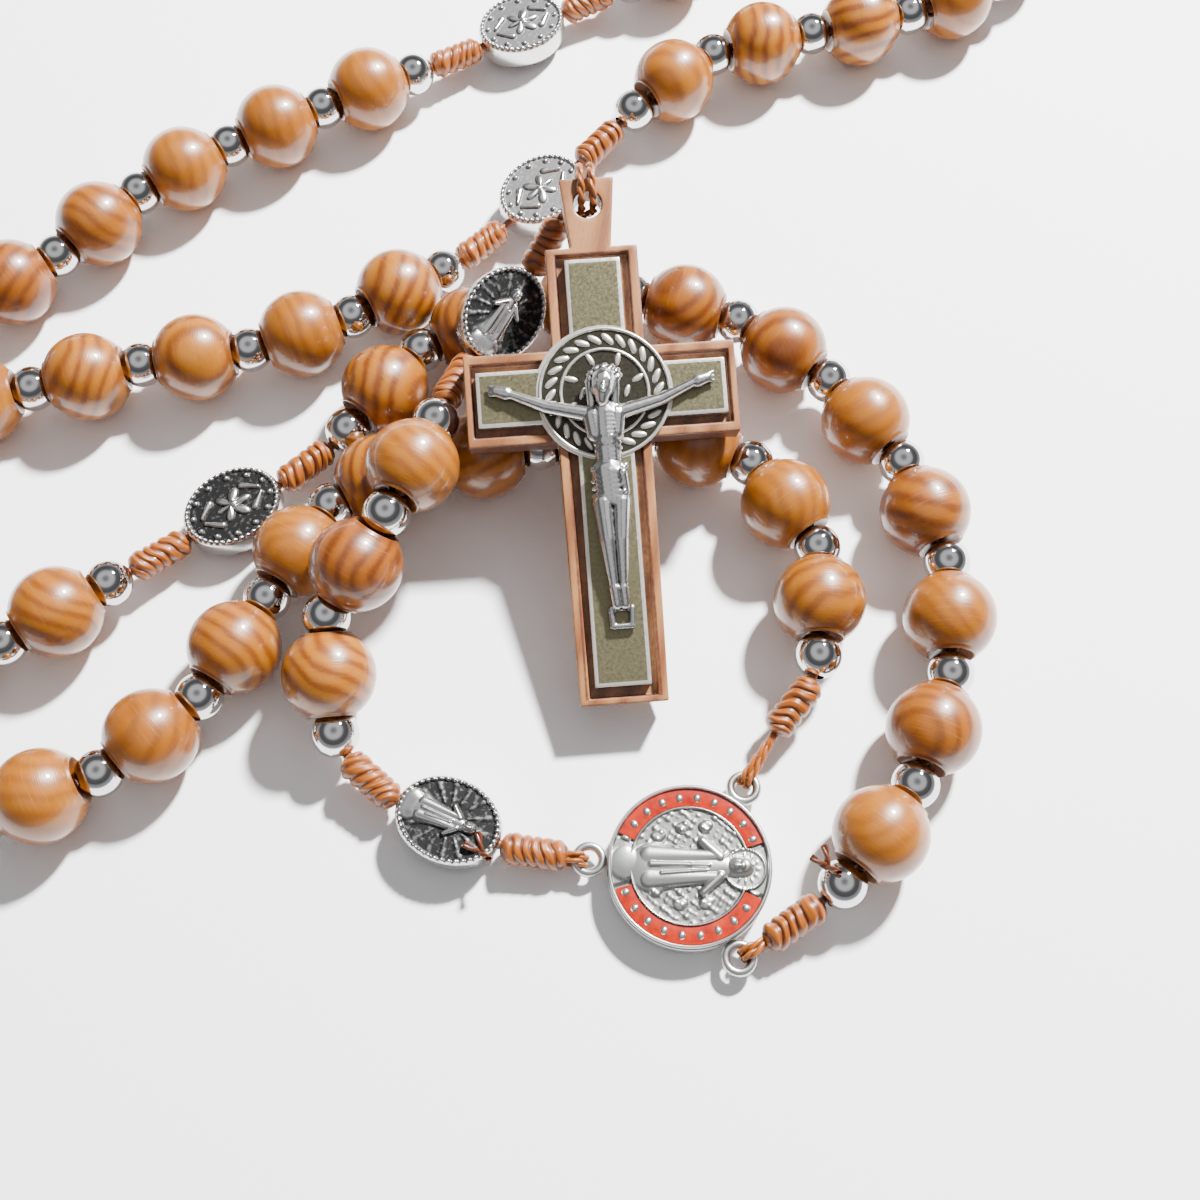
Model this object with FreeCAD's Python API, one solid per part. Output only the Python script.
import FreeCAD, Part
import math
import os

from FreeCAD import Placement, Rotation, Vector

# A wooden five-decade rosary laid on a table. Millimetres, +Z up, table at z = 0.
# The origin is the middle of the round centre medal's back, where it rests on the table.
# The cord enters the loop at the centre medal's right lower ring, runs through decades 1 to 5
# and comes back to its right upper ring. The pendant hangs from the left ring.

# Driving dimensions: beads
wood_bead_diameter = 8.0
wood_bead_length = 7.2
wood_bore_diameter = 2.9
spacer_diameter = 4.1
spacer_bore_diameter = 1.6
bead_pitch = 10.25  # from one wooden bead to the next when the cord is tight
beads_per_decade = 10
pendant_bead_count = 3
dish_radius = 2.4  # the hollow in a wooden bead's end that the spacer sits in
dish_reach = 4.95  # from the bead's middle to the hollow's middle

# Driving dimensions: cord and knots
cord_diameter = 0.85
knot_diameter = 2.7
knot_length = 5.9
touch_gap = 0.03  # between pieces that touch along the cord
eye_play = 0.06  # between a cord eye and the bar inside it
eye_neck_radius = 0.6

# Driving dimensions: oval medal beads
oval_length = 9.2
oval_width = 7.3
oval_thickness = 3.0
oval_edge_radius = 0.45
oval_bore_diameter = 1.6

# Driving dimensions: round centre medal
centre_radius = 6.8
centre_thickness = 2.8
ring_reach = 8.3  # from the medal's middle to a ring's middle
ring_wire_diameter = 0.76
ring_radius = 1.13  # to the middle of the ring's wire
ring_angles = {"left": 175.0, "upper": 55.0, "lower": -62.0}
exit_angles = {"left": 181.0, "upper": 66.0, "lower": 30.0}
enamel_inner_radius = 4.95
enamel_outer_radius = 6.4
enamel_depth = 0.35
enamel_below_rim = 0.1
enamel_turn = 4.0
enamel_groove_lift = 0.2
centre_edge_radius = 0.35
enamel_gap_angle = 21.0  # half of the gap at the head and at the foot of the figure

# Driving dimensions: crucifix, in its own frame (x across, y towards the top, z out of the face)
cross_arm_width = 8.0
cross_foot_width = 7.5
cross_span = 23.4
cross_top = 12.9
cross_foot = 26.6
cross_thickness = 3.0
bail_top = 19.05
bail_base_width = 3.3
bail_top_width = 4.8
bail_hole_diameter = 2.45
bail_bar = 1.12  # wood left between the hole and the top edge
frame_rim = 0.85
frame_end_rim = 0.6
recess_depth = 0.8
inlay_width = 4.8
inlay_span = 21.4
inlay_top = 11.75
inlay_foot = 25.1
inlay_thickness = 1.2
inlay_shift = 0.25  # the inlay is glued in a little off the middle
inlay_skew = -0.6
boss_radius = 5.8

# How the crucifix lies: its foot near the table, its middle propped up by the beads under it
cross_middle = Vector(-7.27, 39.56, 9.27)
cross_tilt = 17.3
cross_turn = 4.4

# The loop's cord, from the lower right ring round to the upper right ring
loop_route = [
    (4.9, -6.8, 1.5),
    (8.6, -4.6, 2.3),
    (15.3, 0.6, 4.0),
    (20.7, 9.8, 4.0),
    (23.7, 20.6, 4.0),
    (22.5, 31.4, 4.0),
    (17.1, 41.2, 4.0),
    (9.0, 49.6, 4.0),
    (-2.2, 54.5, 4.0),
    (-13.5, 52.7, 4.0),
    (-23.6, 49.2, 4.0),
    (-28.9, 40.9, 4.0),
    (-34.6, 36.1, 2.3),
    (-46.3, 28.0, 2.3),
    (-52.4, 23.0, 4.0),
    (-61.5, 16.7, 4.0),
    (-72.8, 19.5, 4.0),
    (-78.3, 30.2, 4.0),
    (-73.0, 40.6, 4.0),
    (-61.6, 43.2, 4.0),
    (-50.2, 46.5, 4.0),
    (-38.4, 47.9, 4.0),
    (-25.5, 54.0, 4.0),
    (-19.0, 60.5, 2.4),
    (-8.4, 71.4, 2.4),
    (-2.7, 77.3, 4.0),
    (6.0, 84.4, 4.0),
    (18.0, 85.8, 4.0),
    (33.4, 91.0, 4.0),
    (38.4, 98.8, 4.0),
    (36.0, 107.8, 4.0),
    (27.8, 112.4, 4.0),
    (17.8, 110.0, 4.0),
    (8.6, 101.4, 4.0),
    (-1.0, 94.2, 4.0),
    (-8.7, 90.9, 2.4),
    (-22.0, 83.8, 2.4),
    (-29.4, 78.6, 4.0),
    (-41.0, 73.2, 4.0),
    (-52.7, 65.9, 4.0),
    (-61.9, 55.2, 4.0),
    (-72.8, 49.8, 4.0),
    (-82.8, 41.8, 4.0),
    (-87.6, 29.8, 4.0),
    (-85.0, 16.8, 4.0),
    (-76.6, 7.4, 2.4),
    (-62.4, 2.4, 2.4),
    (-54.4, 4.7, 4.0),
    (-44.1, 9.7, 4.0),
    (-37.9, 19.0, 4.0),
    (-33.6, 29.3, 4.0),
    (-26.6, 37.4, 4.0),
    (-16.0, 35.7, 4.0),
    (-7.4, 41.1, 4.0),
    (3.2, 38.5, 4.0),
    (10.6, 32.8, 4.0),
    (12.9, 23.0, 4.0),
    (10.4, 14.7, 3.8),
    (7.4, 11.5, 2.3),
    (5.4, 8.2, 1.5),
]

# The pendant's cord, from the left ring over decade 5 to the crucifix
pendant_route = [
    (-9.4, 0.9, 1.5),
    (-13.6, 1.2, 1.9),
    (-20.8, 3.5, 2.2),
    (-27.4, 7.3, 2.4),
    (-30.9, 13.0, 4.0),
    (-31.2, 19.9, 5.8),
    (-27.5, 24.7, 9.6),
    (-22.6, 31.8, 12.2),
    (-20.8, 41.2, 8.5),
    (-15.4, 48.9, 9.5),
    (-11.8, 55.2, 11.3),
    (-10.2, 58.3, 12.8),
]

# Where each group of beads starts along its cord: the middle of its first spacer
decade_starts = [9.2, 138.65, 265.5, 396.4, 522.5]
decade_pitches = [10.42, 10.04, 10.55, 10.05, 10.25]
pendant_start = 23.6

# Poses of the pieces that lean
oval_roll = {"pendant_medal_2": 30.0}

knot_radius = knot_diameter / 2
knot_core = knot_length - knot_diameter  # between the middles of the knot's round ends
spacer_to_knot = spacer_diameter / 2 + touch_gap + knot_radius
knot_to_medal = knot_radius + touch_gap + oval_length / 2
wood_radius = wood_bead_diameter / 2
chord_share = 0.8  # how far a wooden bead shifts from the cord's curve towards its chord


class Route:
    """A cord's middle line: straight runs joined by tangent arcs."""

    def __init__(self, points):
        self.pieces = []
        self.radii = []
        points = [Vector(*p) for p in points]
        runs = [b - a for a, b in zip(points, points[1:])]
        here = points[0]
        for corner, before, after in zip(points[1:], runs, runs[1:]):
            turn = before.getAngle(after)
            reach = 0.45 * min(before.Length, after.Length)
            radius = reach / math.tan(turn / 2)
            into = Vector(before).normalize()
            out = Vector(after).normalize()
            start = corner - into * reach
            self.add_line(here, start)
            self.add_arc(start, into, out, radius, turn)
            here = corner + out * reach
            self.radii.append(radius)
        self.add_line(here, points[-1])
        self.length = sum(piece["length"] for piece in self.pieces)

    def add_line(self, start, end):
        along = (end - start).normalize()
        self.pieces.append({"length": start.distanceToPoint(end), "start": start, "along": along})

    def add_arc(self, start, into, out, radius, turn):
        inward = (out - into * into.dot(out)).normalize()
        self.pieces.append(
            {"length": radius * turn, "start": start, "along": into, "inward": inward, "radius": radius}
        )

    def at(self, station):
        """The point and the direction at a distance along the cord."""
        left = station
        for piece in self.pieces:
            if left <= piece["length"] or piece is self.pieces[-1]:
                break
            left -= piece["length"]
        return self.on_piece(piece, left)

    def on_piece(self, piece, distance):
        if "radius" not in piece:
            return piece["start"] + piece["along"] * distance, piece["along"]
        angle = distance / piece["radius"]
        middle = piece["start"] + piece["inward"] * piece["radius"]
        outward = piece["inward"] * -math.cos(angle) + piece["along"] * math.sin(angle)
        along = piece["along"] * math.cos(angle) + piece["inward"] * math.sin(angle)
        return middle + outward * piece["radius"], along

    def point(self, station):
        return self.at(station)[0]

    def edges(self, first, last):
        """The line's edges between two stations."""
        found = []
        here = 0.0
        for piece in self.pieces:
            low = max(first - here, 0.0)
            high = min(last - here, piece["length"])
            if high - low > 1e-6:
                ends = [self.on_piece(piece, s)[0] for s in (low, (low + high) / 2, high)]
                if "radius" in piece:
                    found.append(Part.Arc(*ends).toShape())
                else:
                    found.append(Part.LineSegment(ends[0], ends[2]).toShape())
            here += piece["length"]
        return found

    def tube(self, first, last):
        """The cord between two stations."""
        start, along = self.at(first)
        section = Part.Wire([Part.makeCircle(cord_diameter / 2, start, along)])
        spine = Part.Wire(self.edges(first, last))
        return spine.makePipeShell([section], True, False)


def facing(place, x_axis, up=Vector(0, 0, 1)):
    """A placement at a point whose local x runs along a direction and whose z leans towards up."""
    x_axis = Vector(x_axis).normalize()
    z_axis = (up - x_axis * up.dot(x_axis)).normalize()
    y_axis = z_axis.cross(x_axis)
    return Placement(place, Rotation(x_axis, y_axis, z_axis, "XYZ"))


def put(shape, placement):
    moved = shape.copy()
    moved.Placement = placement
    return moved


def compound(shapes):
    return shapes[0] if len(shapes) == 1 else Part.makeCompound(shapes)


# Shapes of the single pieces, each in its own frame with the cord along x


def wood_bead():
    """A turned ball with flat ends, a bore and a shallow dish round each end of it."""
    half = wood_bead_length / 2
    ball = Part.makeSphere(wood_radius, Vector(), Vector(1, 0, 0))
    slab = Part.makeBox(wood_bead_length, 10, 10, Vector(-half, -5, -5))
    bead = ball.common(slab)
    bore = Part.makeCylinder(wood_bore_diameter / 2, 10, Vector(-5, 0, 0), Vector(1, 0, 0))
    bead = bead.cut(bore)
    for side in (-1, 1):
        dish = Part.makeSphere(dish_radius, Vector(side * dish_reach, 0, 0), Vector(1, 0, 0))
        bead = bead.cut(dish)
    return bead


def spacer_ball():
    ball = Part.makeSphere(spacer_diameter / 2, Vector(), Vector(1, 0, 0))
    bore = Part.makeCylinder(spacer_bore_diameter / 2, 6, Vector(-3, 0, 0), Vector(1, 0, 0))
    return ball.cut(bore)


def knot_body(start, end):
    """A wrapped barrel knot between the middles of its two round ends."""
    along = end - start
    barrel = Part.makeCylinder(knot_radius, along.Length, start, along)
    return barrel.fuse([Part.makeSphere(knot_radius, start), Part.makeSphere(knot_radius, end)])


def oval_medal():
    """An oval medal bead with the bore along its length."""
    outline = Part.Ellipse(Vector(0, 0, 0), oval_length / 2, oval_width / 2).toShape()
    face = Part.Face(Part.Wire([outline]))
    body = face.extrude(Vector(0, 0, oval_thickness))
    body.translate(Vector(0, 0, -oval_thickness / 2))
    body = body.makeFillet(oval_edge_radius, body.Edges[:1] + body.Edges[-1:])
    bore = Part.makeCylinder(oval_bore_diameter / 2, 12, Vector(-6, 0, 0), Vector(1, 0, 0))
    return body.cut(bore)


# The centre medal


def on_circle(radius, angle, height=0.0):
    return Vector(radius * math.cos(math.radians(angle)), radius * math.sin(math.radians(angle)), height)


def ring_middle(name):
    return on_circle(ring_reach, ring_angles[name], centre_thickness / 2)


def ring_wire_point(name):
    """Where a cord eye goes round the ring's wire."""
    return ring_middle(name) + on_circle(ring_radius, exit_angles[name])


def enamel_ring():
    """Two arcs of enamel, one each side of the figure."""
    top = centre_thickness - enamel_below_rim
    arcs = []
    for start in (enamel_gap_angle, 180 + enamel_gap_angle):
        sweep = 180 - 2 * enamel_gap_angle
        turned = Rotation(Vector(0, 0, 1), start - enamel_turn)
        outer = Part.makeCylinder(enamel_outer_radius, enamel_depth, Vector(), Vector(0, 0, 1), sweep)
        inner = Part.makeCylinder(enamel_inner_radius, 3, Vector(0, 0, -1))
        arc = outer.cut(inner)
        arcs.append(put(arc, Placement(Vector(0, 0, top - enamel_depth), turned)))
    return arcs


def centre_medal():
    disc = Part.makeCylinder(centre_radius, centre_thickness)
    disc = disc.makeFillet(centre_edge_radius, [e for e in disc.Edges if isinstance(e.Curve, Part.Circle)])
    rings = [
        Part.makeTorus(ring_radius, ring_wire_diameter / 2, ring_middle(name)) for name in ring_angles
    ]
    medal = disc.fuse(rings)
    for arc in enamel_ring():
        base = arc.Placement.Base + Vector(0, 0, enamel_groove_lift)
        groove = arc.fuse(put(arc, Placement(base, arc.Placement.Rotation)))
        medal = medal.cut(groove)
    return medal


# The crucifix


def cross_outline(half_width, foot_half_width, half_span, top, foot):
    """A Latin cross as a closed wire, its arms crossing at the origin."""
    corners = [
        (half_width, half_width),
        (half_span, half_width),
        (half_span, -half_width),
        (half_width, -half_width),
        (foot_half_width, -foot),
        (-foot_half_width, -foot),
        (-half_width, -half_width),
        (-half_span, -half_width),
        (-half_span, half_width),
        (-half_width, half_width),
        (-half_width, top),
        (half_width, top),
    ]
    points = [Vector(x, y, 0) for x, y in corners]
    return Part.makePolygon(points + points[:1])


def cross_plate(half_width, foot_half_width, half_span, top, foot, low, high):
    face = Part.Face(cross_outline(half_width, foot_half_width, half_span, top, foot))
    plate = face.extrude(Vector(0, 0, high - low))
    plate.translate(Vector(0, 0, low))
    return plate


def bail_bar_height():
    """Distance from the crossing up to the middle of the bar that the cord goes round."""
    return bail_top - bail_bar / 2


def cross_body():
    half = cross_arm_width / 2
    foot_half = cross_foot_width / 2
    plate = cross_plate(half, foot_half, cross_span / 2, cross_top, cross_foot, 0, cross_thickness)
    base = bail_base_width / 2
    tip = bail_top_width / 2
    corners = [(-base, cross_top - 1), (base, cross_top - 1), (tip, bail_top), (-tip, bail_top)]
    points = [Vector(x, y, 0) for x, y in corners]
    bail = Part.Face(Part.makePolygon(points + points[:1])).extrude(Vector(0, 0, cross_thickness))
    hole_middle = bail_top - bail_bar - bail_hole_diameter / 2
    hole = Part.makeCylinder(bail_hole_diameter / 2, 6, Vector(0, hole_middle, -1))
    recess = cross_plate(
        half - frame_rim,
        foot_half - frame_rim,
        cross_span / 2 - frame_end_rim,
        cross_top - frame_end_rim,
        cross_foot - frame_end_rim,
        cross_thickness - recess_depth,
        cross_thickness + 1,
    )
    return plate.fuse(bail).removeSplitter().cut(hole).cut(recess)


def cross_inlay():
    """A metal cross in the recess, with a round boss that rests on the frame."""
    low = cross_thickness - recess_depth
    half = inlay_width / 2
    high = low + inlay_thickness
    plate = cross_plate(half, half, inlay_span / 2, inlay_top, inlay_foot, low, high)
    boss = Part.makeCylinder(boss_radius, high - cross_thickness, Vector(0, 0, cross_thickness))
    inlay = plate.fuse(boss).removeSplitter()
    return put(inlay, Placement(Vector(inlay_shift, 0, 0), Rotation(Vector(0, 0, 1), inlay_skew)))


def limb(start, end, first_radius, last_radius):
    """A tapered limb with round ends."""
    start = Vector(*start)
    end = Vector(*end)
    along = end - start
    cone = Part.makeCone(first_radius, last_radius, along.Length, start, along)
    return cone.fuse([Part.makeSphere(first_radius, start), Part.makeSphere(last_radius, end)])


def corpus():
    """The figure on the cross, cast in one piece, as plain tapered limbs on a thin backing."""
    face = cross_thickness - recess_depth + inlay_thickness
    body = [
        limb((0, 0.1, face + 1.2), (0, -0.3, face + 1.1), 1.0, 0.9),
        limb((0, -1.9, face + 0.9), (0.2, -6.2, face + 0.8), 1.35, 1.05),
        limb((0.1, -6.6, face + 0.8), (0.2, -9.2, face + 0.8), 1.25, 1.2),
        limb((-0.5, -9.4, face + 0.8), (-0.2, -13.2, face + 1.0), 0.9, 0.75),
        limb((0.9, -9.4, face + 0.8), (0.8, -13.2, face + 1.0), 0.9, 0.75),
        limb((-0.2, -13.2, face + 1.0), (0.1, -18.2, face + 0.6), 0.72, 0.5),
        limb((0.8, -13.2, face + 1.0), (0.6, -18.2, face + 0.6), 0.72, 0.5),
    ]
    for side in (-1, 1):
        body.append(limb((side * 1.1, -1.9, face + 0.8), (side * 5.0, -0.9, face + 0.55), 0.62, 0.5))
        body.append(limb((side * 5.0, -0.9, face + 0.55), (side * 8.7, 0.3, face + 0.5), 0.5, 0.45))
    footrest = Part.makeBox(2.0, 1.9, 0.8, Vector(-0.7, -20.2, face))
    figure = body[0].fuse(body[1:] + [footrest])
    below = Part.makeBox(40, 60, 5, Vector(-20, -40, face - 5))
    return figure.cut(below)


def cross_placement():
    """Where the crucifix lies: turned on the table and tipped foot down."""
    turn = Rotation(Vector(0, 0, 1), cross_turn)
    tilt = Rotation(Vector(1, 0, 0), cross_tilt)
    return Placement(cross_middle, turn.multiply(tilt))


def bail_pivot():
    """The middle of the bail's bar, and the direction across it."""
    place = cross_placement()
    middle = place.multVec(Vector(0, bail_bar_height(), cross_thickness / 2))
    return middle, place.Rotation.multVec(Vector(1, 0, 0))


# Knots and eyes


def cord_eye(middle, across, reach, knot_end):
    """The cord's turn round a bar whose edge is at a reach from its middle, joined to a knot."""
    turn_radius = reach + eye_play + cord_diameter / 2
    ring = Part.makeTorus(turn_radius, cord_diameter / 2, middle, across)
    towards = knot_end - middle
    flat = (towards - across * across.dot(towards)).normalize()
    touch = middle + flat * turn_radius
    along = touch - knot_end
    neck = Part.makeCylinder(eye_neck_radius, along.Length, knot_end, along)
    ball = Part.makeSphere(eye_neck_radius, touch)
    inside = Part.makeCylinder(reach + eye_play, 8, middle - across * 4, across)
    return ring.fuse([neck, ball]).cut(inside)


def ring_eye(name, knot_end):
    """The cord's turn round one of the centre medal's rings."""
    wire = ring_wire_point(name)
    out = Vector(knot_end.x - wire.x, knot_end.y - wire.y, 0).normalize()
    return cord_eye(wire, out.cross(Vector(0, 0, 1)), ring_wire_diameter / 2, knot_end)


def bail_eye(knot_end):
    """The cord's turn round the crucifix's bail."""
    middle, across = bail_pivot()
    return cord_eye(middle, across, math.hypot(bail_bar / 2, cross_thickness / 2), knot_end)


def knot_between(route, start):
    """A knot on a cord from a station on."""
    return knot_body(route.point(start), route.point(start + knot_core))


# Stations along the cords


def decade_stations(number):
    """Where a decade's wooden beads and spacers sit along the loop."""
    start = decade_starts[number - 1]
    pitch = decade_pitches[number - 1]
    spacers = [start + pitch * i for i in range(beads_per_decade + 1)]
    beads = [start + pitch * (i + 0.5) for i in range(beads_per_decade)]
    return spacers, beads


def pendant_stations():
    """Where the pendant's spacers, beads and medals sit, and where its knots start."""
    spacers = [pendant_start + bead_pitch * i for i in range(pendant_bead_count + 1)]
    marks = {"spacers": spacers}
    marks["beads"] = [s + bead_pitch / 2 for s in spacers[:-1]]
    marks["knot_2"] = spacers[0] - spacer_to_knot - knot_core
    marks["medal_1"] = marks["knot_2"] - knot_to_medal
    marks["knot_1"] = marks["medal_1"] - knot_to_medal - knot_core
    marks["knot_3"] = spacers[-1] + spacer_to_knot
    marks["medal_2"] = marks["knot_3"] + knot_core + knot_to_medal
    marks["knot_4"] = marks["medal_2"] + knot_to_medal
    return marks


def decade_ends(number):
    """The knot ends next to a decade: where its cord starts and stops."""
    spacers, _ = decade_stations(number)
    return spacers[0] - spacer_to_knot, spacers[-1] + spacer_to_knot


# Placing pieces on the cords


def bead_place(route, station, pitch=bead_pitch):
    """A wooden bead between its two spacers, no lower than the table."""
    before = route.point(station - pitch / 2)
    after = route.point(station + pitch / 2)
    chord_middle = (before + after) * 0.5
    middle = route.point(station) * (1 - chord_share) + chord_middle * chord_share
    middle.z = max(middle.z, wood_radius)
    return facing(middle, after - before)


def spacer_place(route, station):
    point, along = route.at(station)
    return facing(point, along)


def medal_place(route, station, roll=0.0):
    before = route.point(station - oval_length / 2)
    after = route.point(station + oval_length / 2)
    place = facing((before + after) * 0.5, after - before)
    return place.multiply(Placement(Vector(), Rotation(Vector(1, 0, 0), roll)))


def trimmed_tube(route, first, last):
    """A cord whose ends stop at the round ends of the knots it runs between."""
    cord = route.tube(first, last)
    ends = [Part.makeSphere(knot_radius, route.point(s)) for s in (first, last)]
    return cord.cut(ends)


def make_pieces():
    """Every node: its name and its solids."""
    loop = Route(loop_route)
    pendant = Route(pendant_route)
    bead = wood_bead()
    ball = spacer_ball()
    medal = oval_medal()
    pieces = {}
    pieces["centre_medal"] = [centre_medal()]
    pieces["centre_enamel"] = enamel_ring()

    for number in range(1, 6):
        name = "decade_%d" % number
        spacers, beads = decade_stations(number)
        first, last = decade_ends(number)
        pieces[name + "_cord"] = [trimmed_tube(loop, first, last)]
        pieces[name + "_spacers"] = [put(ball, spacer_place(loop, s)) for s in spacers]
        pitch = decade_pitches[number - 1]
        wood = [put(bead, bead_place(loop, s, pitch)) for s in beads]
        if number == 1:
            for i, solid in enumerate(wood):
                pieces["%s_bead_%d" % (name, i + 1)] = [solid]
        else:
            pieces[name + "_beads"] = wood
        if number < 5:
            a = last
            b = last + knot_core
            d = decade_ends(number + 1)[0]
            c = d - knot_core
            knots = [knot_body(loop.point(a), loop.point(b)), knot_body(loop.point(c), loop.point(d))]
            pieces["loop_knot_%d" % (2 * number)] = knots[:1]
            pieces["loop_knot_%d" % (2 * number + 1)] = knots[1:]
            pieces["medal_cord_%d" % number] = [trimmed_tube(loop, b, c)]
            pieces["loop_medal_%d" % number] = [put(medal, medal_place(loop, (b + c) / 2))]

    first_knot = knot_between(loop, decade_ends(1)[0] - knot_core)
    last_knot = knot_between(loop, decade_ends(5)[1])
    marks = pendant_stations()
    knots = [knot_between(pendant, marks["knot_%d" % i]) for i in range(1, 5)]
    pieces["loop_knot_1"] = [first_knot]
    pieces["loop_knot_10"] = [last_knot]
    pieces["ring_eyes"] = [
        ring_eye("lower", loop.point(decade_ends(1)[0] - knot_core)).cut(first_knot),
        ring_eye("upper", loop.point(decade_ends(5)[1] + knot_core)).cut(last_knot),
        ring_eye("left", pendant.point(marks["knot_1"])).cut(knots[0]),
    ]
    for i, knot in enumerate(knots):
        pieces["pendant_knot_%d" % (i + 1)] = [knot]
    pieces["pendant_medal_1"] = [put(medal, medal_place(pendant, marks["medal_1"]))]
    roll = oval_roll["pendant_medal_2"]
    pieces["pendant_medal_2"] = [put(medal, medal_place(pendant, marks["medal_2"], roll))]
    pieces["pendant_cord"] = [
        trimmed_tube(pendant, marks["knot_1"] + knot_core, marks["knot_2"]),
        trimmed_tube(pendant, marks["knot_2"] + knot_core, marks["knot_3"]),
        trimmed_tube(pendant, marks["knot_3"] + knot_core, marks["knot_4"]),
    ]
    pieces["pendant_spacers"] = [put(ball, spacer_place(pendant, s)) for s in marks["spacers"]]
    for i, s in enumerate(marks["beads"]):
        pieces["pendant_bead_%d" % (i + 1)] = [put(bead, bead_place(pendant, s))]
    pieces["cross_eye"] = [bail_eye(pendant.point(marks["knot_4"] + knot_core)).cut(knots[3])]

    place = cross_placement()
    pieces["cross_body"] = [put(cross_body(), place)]
    pieces["cross_inlay"] = [put(cross_inlay(), place)]
    pieces["corpus"] = [put(corpus(), place)]
    return pieces


def main():
    os.makedirs("parts", exist_ok=True)
    for name, route in (("loop", Route(loop_route)), ("pendant", Route(pendant_route))):
        radii = " ".join("%.1f" % r for r in route.radii)
        print("%s cord: length %.1f mm, radii %s" % (name, route.length, radii))
    for name, shapes in make_pieces().items():
        shape = compound(shapes)
        volume = sum(s.Volume for s in shape.Solids)
        print("%-22s %2d solids %9.2f mm3 valid %s" % (name, len(shape.Solids), volume, shape.isValid()))
        shape.exportStep("parts/%s.step" % name)


if __name__ == "__main__":
    main()
